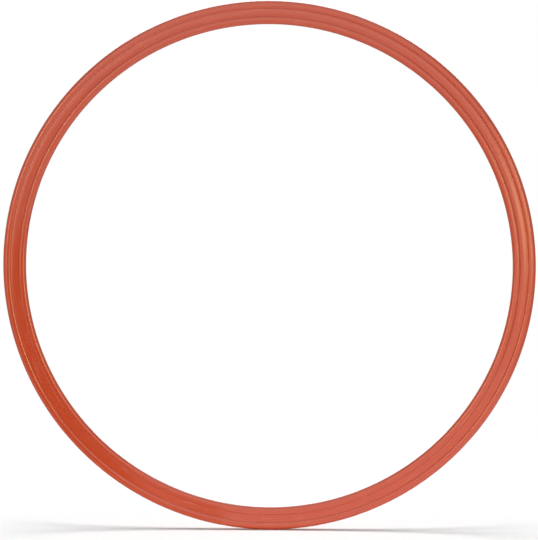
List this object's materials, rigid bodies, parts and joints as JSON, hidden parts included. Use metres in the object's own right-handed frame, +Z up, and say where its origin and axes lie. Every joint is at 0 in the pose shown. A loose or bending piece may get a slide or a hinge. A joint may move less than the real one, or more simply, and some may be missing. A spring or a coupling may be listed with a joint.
{
  "type": "flying ring",
  "caption": "Slim flat ring for throwing, catching or laying out as a target: a stiff core band with a low crown and a soft rounded rim along its inner and outer edges.",
  "frame": {"origin": "centre of the ring, halfway through its thickness", "axes": "+Y along the ring's axis to the back, so the front face looks to -Y; +Z up as pictured, with the ring standing on its edge"},
  "size_m": [0.33, 0.0042, 0.33],
  "materials": {
    "core_plastic": "satin",
    "outer_soft_plastic": "satin",
    "inner_soft_plastic": "satin"
  },
  "bodies": {
    "root": {"core_ring": "core_plastic", "outer_rim": "outer_soft_plastic", "inner_rim": "inner_soft_plastic"}
  },
  "joints": []
}
